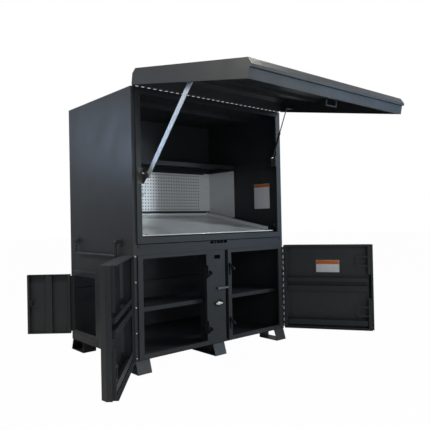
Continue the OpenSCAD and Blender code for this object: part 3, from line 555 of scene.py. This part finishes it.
def card(name, matrix, wide, high, band, body):
    """A card of wide by high metres, with a band of about the given height on top."""
    bm = bmesh.new()
    slab(bm, matrix, (-wide / 2, -high / 2, 0), (wide / 2, high / 2, 0.0006), 0.0002)
    slab(bm, matrix, (-wide / 2 + BAND_IN, high / 2 - band, 0.0005),
         (wide / 2 - BAND_IN, high / 2 - BAND_IN, 0.0010), 0.0002, 1)
    piece(name, bm, body, [card_white, card_orange])


card("wall_card", looking(spot(RIGHT_WALL, 233, 1173), TO_LEFT), 0.194, 0.226, 0.030, "cabinet")
inward = right_door_spot(0, 0, 0) - right_door_spot(0, 1, 0)
card("door_card", looking(right_door_spot(380, 91, 539), inward), 0.200, 0.106, 0.036, "right_door")

# %% [markdown]
# A short chain keeps the prop's pin from being lost. It runs from the bracket down to the
# folded lip, and hangs in a shallow curve. Each link is an oval ring, turned a quarter turn from
# the last one. A plain cord would be simpler, but the real links show as a row of light dots.


# %% Pin chain
def ring(bm, matrix, long, wide, wire, steps=14, sides=6):
    """One oval link of round wire: a circle whose two halves are drawn apart lengthways."""
    rings = []
    for i in range(steps):
        a = 2 * math.pi * i / steps
        apart = long * 0.45 if math.sin(a) > 0 else -long * 0.45
        centre = Vector((wide * math.cos(a), long * math.sin(a) + apart, 0))
        out = Vector((math.cos(a), math.sin(a), 0))
        rings.append([])
        for b in (2 * math.pi * k / sides for k in range(sides)):
            around = out * wire * math.cos(b) + Vector((0, 0, wire * math.sin(b)))
            rings[-1].append(bm.verts.new(matrix @ (centre + around)))
    for i in range(steps):
        for k in range(sides):
            a, b = rings[i], rings[(i + 1) % steps]
            bm.faces.new((a[k], a[(k + 1) % sides], b[(k + 1) % sides], b[k]))


LINKS, SAG = 13, 0.03
CHAIN_TOP, CHAIN_END = spot(83, -58, 1236), spot(74, -16, 1150)

bm = bmesh.new()
points = [CHAIN_TOP.lerp(CHAIN_END, t / LINKS) - Vector((0, 0, SAG * math.sin(math.pi * t / LINKS)))
          for t in range(LINKS + 1)]
for i, (a, b) in enumerate(zip(points, points[1:])):
    along = (b - a).normalized()
    across = along.cross(Vector((1, 0.2, 0))).normalized()
    axes = Matrix((across, along, across.cross(along))).transposed().to_4x4()
    quarter_turn = Matrix.Rotation(math.pi / 2 * (i % 2), 4, "Y")
    ring(bm, Matrix.Translation((a + b) / 2) @ axes @ quarter_turn, 0.0030, 0.0026, 0.0008)
slab(bm, looking(spot(74, -14, 1150), TO_FRONT), (-0.006, -0.009, 0), (0.006, 0.009, 0.002), 0.0008)
piece("prop_pin_chain", bm, "cabinet", [zinc])

# %% [markdown]
# The prop turns on a bright pin, and the gas strut on a ball stud. Their round heads show on
# the side that faces the camera. Both are lathe work, and the ball's profile is part of a circle
# on a short neck. Below the strut a narrow steel post stands on the right wall.

# %% Prop pin, strut ball and wall post
PIN_HEAD = [(0.009, 0), (0.009, 0.002), (0.0055, 0.0022), (0.0055, 0.008), (0.0045, 0.0095),
            (0.0015, 0.010)]
BALL_RADIUS, BALL_HEIGHT = 0.0095, 0.010
BALL = [(0.006, 0), (0.006, 0.002)]
BALL += [(BALL_RADIUS * math.cos(a), BALL_HEIGHT + BALL_RADIUS * math.sin(a))
         for a in (math.pi * (k / 8 - 0.4) for k in range(8))]

bm = bmesh.new()
lathe(bm, looking(spot(80.3, -22, 1299), TO_LEFT), PIN_HEAD)
piece("prop_pin_head", bm, "cabinet", [bright])

bm = bmesh.new()
lathe(bm, looking(spot(1430.7, 6, 1497), TO_LEFT), BALL)
piece("strut_ball", bm, "cabinet", [bright])

bm = bmesh.new()
slab(bm, looking(spot(RIGHT_WALL, 79, 892), TO_LEFT), (-0.012, -0.034, 0), (0.012, 0.034, 0.005),
     0.0012)
piece("wall_post", bm, "cabinet", [dull_steel])

# %% [markdown]
# The rail between the openings has a long slot. Behind it sit the ends of the canopy's latch,
# five short plates on the back of the rail. They leave room for the canopy's wire loop, which
# comes in through the same slot when the canopy shuts.

# %% Latch plates
PLATES = ((-0.082, -0.074), (-0.050, -0.040), (-0.024, -0.012), (0.014, 0.022), (0.050, 0.062))

bm = bmesh.new()
slot_middle = looking(spot(778, 3.1, 792), TO_FRONT)
for left, right in PLATES:
    slab(bm, slot_middle, (left, -0.018, -0.016), (right, 0.018, 0), 0.0012)
piece("latch_plates", bm, "cabinet", [black_satin])

# %% [markdown]
# A dark line of shadow runs all along the foot of the upper lip. It is drawn as a narrow strip
# of black painted shadow that lies in the corner under the lip, because a plain gap there would
# fill with light. A dark cup of painted shade closes the small window in the lock's cover, where
# its inside would lie in shade.

# %% Painted shadow under the lip and in the lock window
SHADOW_LINE_HEIGHT, SHADOW_LINE_HALF = 805.2, 0.732
WINDOW_X, WINDOW_Z = 749.5, 676

bm = bmesh.new()
slab(bm, looking(spot(BOX_WIDE / 2, 0, SHADOW_LINE_HEIGHT), TO_FRONT), (-SHADOW_LINE_HALF, -0.0030, -0.0004),
     (SHADOW_LINE_HALF, 0.0026, 0.0016), 0.0005)
piece("lip_painted_shadow", bm, "cabinet", [painted_shadow_black])

bm = bmesh.new()
slab(bm, looking(spot(WINDOW_X, 3.0, WINDOW_Z), TO_FRONT), (-0.034, -0.019, -0.0016),
     (0.034, 0.019, 0), 0.0004)
piece("window_shade_cup", bm, "cabinet", [painted_shadow_black])

# %% [markdown]
# The worktop's tray is screwed down at its front corners. A dark screw head stands near each
# end of its rolled edge, and leans with the tray's slope.

# %% Worktop corner screws
TRAY_UP = (0, -0.17, 1)

bm = bmesh.new()
for x in (154, 1394):
    pan_head(bm, looking(spot(x, 68, 869.5), TRAY_UP, (0, 1, 0)), radius=0.008, height=0.004)
piece("worktop_screws", bm, "cabinet", [black_satin, hole_shade_paint])

# %% [markdown]
# The opening in the left wall is framed by a flat raised strip above it and one below. Each is
# thin sheet with softened edges. They stop clear of the small door, which swings past them.

# %% Side opening strips
OPENING_Y, STRIP_HALF, STRIP_PROUD = 738, 0.205, 0.0022

bm = bmesh.new()
for z, half_high in ((566, 0.012), (34, 0.026)):
    slab(bm, looking(spot(0, OPENING_Y, z), TO_LEFT), (-STRIP_HALF, -half_high, 0),
         (STRIP_HALF, half_high, STRIP_PROUD), 0.0008)
piece("side_opening_strips", bm, "cabinet", [charcoal])

# %% [markdown]
# The floor is one wide pale plane. To the camera it is plain white, with only a breath of
# shadow where the feet stand. Polished metal sees a small share of the same white, so that the
# dark paint keeps its depth. Everything else sees an ordinary pale floor, so the light that
# comes back from it stays natural. A brighter lamp could whiten the floor too, but it would
# wash out the cabinet.


# %% Floor
def shown_rays(tree, in_mirrors):
    """How white a ray finds the backdrop: wholly for the camera, in_mirrors for metal and glass."""
    rays = tree.nodes.new("ShaderNodeLightPath")
    mirrored = sums(tree, "ADD", rays.outputs["Is Glossy Ray"], rays.outputs["Is Transmission Ray"])
    return sums(tree, "ADD", rays.outputs["Is Camera Ray"],
                sums(tree, "MULTIPLY", mirrored, in_mirrors), True)


def surface(tree, output, plain, shown, share):
    """Wire two shaders to the output: shown takes the place of plain by the given share."""
    mix = tree.nodes.new("ShaderNodeMixShader")
    tree.links.new(share, mix.inputs[0])
    tree.links.new(plain.outputs[0], mix.inputs[1])
    tree.links.new(shown.outputs[0], mix.inputs[2])
    tree.links.new(mix.outputs[0], tree.nodes.new(output).inputs["Surface"])


FLOOR_HALF, FLOOR_TOP = 30, -0.0005
FLOOR_COLOUR = (0.50, 0.48, 0.46, 1)
FLOOR_WHITE, FLOOR_IN_METAL = 0.985, 0.12

bm = bmesh.new()
bmesh.ops.create_grid(bm, x_segments=1, y_segments=1, size=FLOOR_HALF)
floor_mesh = bpy.data.meshes.new("floor")
bm.to_mesh(floor_mesh)
bm.free()
floor = bpy.data.objects.new("floor", floor_mesh)
bpy.context.scene.collection.objects.link(floor)
floor.location.z = FLOOR_TOP
pale = bpy.data.materials.new("studio_floor")
pale.use_nodes = True
tree = pale.node_tree
tree.nodes.clear()
matt = tree.nodes.new("ShaderNodeBsdfDiffuse")
matt.inputs["Color"].default_value = FLOOR_COLOUR
white = tree.nodes.new("ShaderNodeEmission")
surface(tree, "ShaderNodeOutputMaterial", matt, white,
        sums(tree, "MULTIPLY", shown_rays(tree, FLOOR_IN_METAL), FLOOR_WHITE))
floor_mesh.materials.append(pale)
print("floor is", round(floor.dimensions.x), "m wide")

# %% [markdown]
# Ten soft lamps do the work, each for one side of the cabinet. Two stand on the left: a blue one
# far back gives the long wall its cool sheen, and a plain one, higher and nearer, evens it out.
# Three hang high, two warm and one cool, and light the folded edges and the white tray. Two in
# front, one of them low, shade the lips and the underside of the canopy. Three stand far off to
# the right, where the white back panel mirrors them as one bright streak. One bright sky would
# be simpler, but paint this dark shows hardly any shape without lamps of its own.


# %% Lamps
def lamp(name, place, aim, size, watts, colour):
    """A soft rectangular lamp at a place, turned towards its aim, both in metres."""
    data = bpy.data.lights.new(name, "AREA")
    data.shape = "RECTANGLE"
    data.size, data.size_y = size
    data.energy = watts
    data.color = colour
    thing = bpy.data.objects.new(name, data)
    bpy.context.scene.collection.objects.link(thing)
    thing.location = place
    thing.rotation_euler = (Vector(aim) - Vector(place)).to_track_quat("-Z", "Y").to_euler()


lamp("sheen_left", (-2.9, 2.7, 2.2), (-0.76, -0.2, 1.5), (0.7, 0.7), 15.5, (0.53, 0.71, 1.0))
lamp("left_back", (-3.6, 0.6, 3.2), (-0.76, -0.3, 1.3), (1.0, 1.0), 42, (1.0, 0.98, 0.92))
lamp("top", (-1.2, -1.6, 4.4), (-0.8, -0.8, 0.8), (0.7, 0.7), 96, (1.0, 0.97, 0.86))
lamp("key_high", (1.6, -1.0, 4.8), (0.0, -0.5, 0.9), (0.5, 0.5), 60, (1.0, 0.94, 0.84))
lamp("key_right", (3.6, -3.6, 4.0), (0.0, -0.5, 0.9), (0.5, 0.5), 80, (0.90, 0.96, 1.0))
lamp("front", (-1.9, -4.6, 1.9), (0.0, 0.0, 1.5), (1.8, 1.2), 32, (0.98, 0.99, 1.0))
lamp("low_front", (-0.4, -4.4, 0.6), (0.0, -0.5, 2.0), (2.4, 0.6), 16, (0.85, 0.93, 1.0))
lamp("window", (4.36, -6.2, 1.83), (-0.05, 0.47, 1.4), (0.8, 2.0), 46, (0.78, 0.90, 1.0))
lamp("window_high", (4.36, -6.2, 3.2), (-0.05, 0.47, 1.4), (0.8, 1.6), 36, (0.9, 1.0, 0.9))
lamp("window_far", (5.6, -5.4, 1.9), (-0.6, 0.43, 1.3), (0.8, 2.0), 36, (0.3, 0.6, 1.0))
print("lamps:", len(bpy.data.lights))

# %% [markdown]
# The world behind it all is plain. The camera sees white, and polished metal about a third of
# that. Matt surfaces get a much lower grey, because paint this dark would otherwise wash out.

# %% World
WORLD_GREY, WORLD_COLOUR = 0.12, (0.95, 0.98, 1.0, 1)
WORLD_IN_METAL = 0.3

world = bpy.data.worlds.new("studio")
bpy.context.scene.world = world
world.use_nodes = True
tree = world.node_tree
tree.nodes.clear()
low = tree.nodes.new("ShaderNodeBackground")
low.inputs["Color"].default_value = WORLD_COLOUR
low.inputs["Strength"].default_value = WORLD_GREY
high = tree.nodes.new("ShaderNodeBackground")
high.inputs["Color"].default_value = (1, 1, 1, 1)
surface(tree, "ShaderNodeOutputWorld", low, high, shown_rays(tree, WORLD_IN_METAL))
bpy.context.scene.view_settings.view_transform = "Standard"
print("world:", world.name)
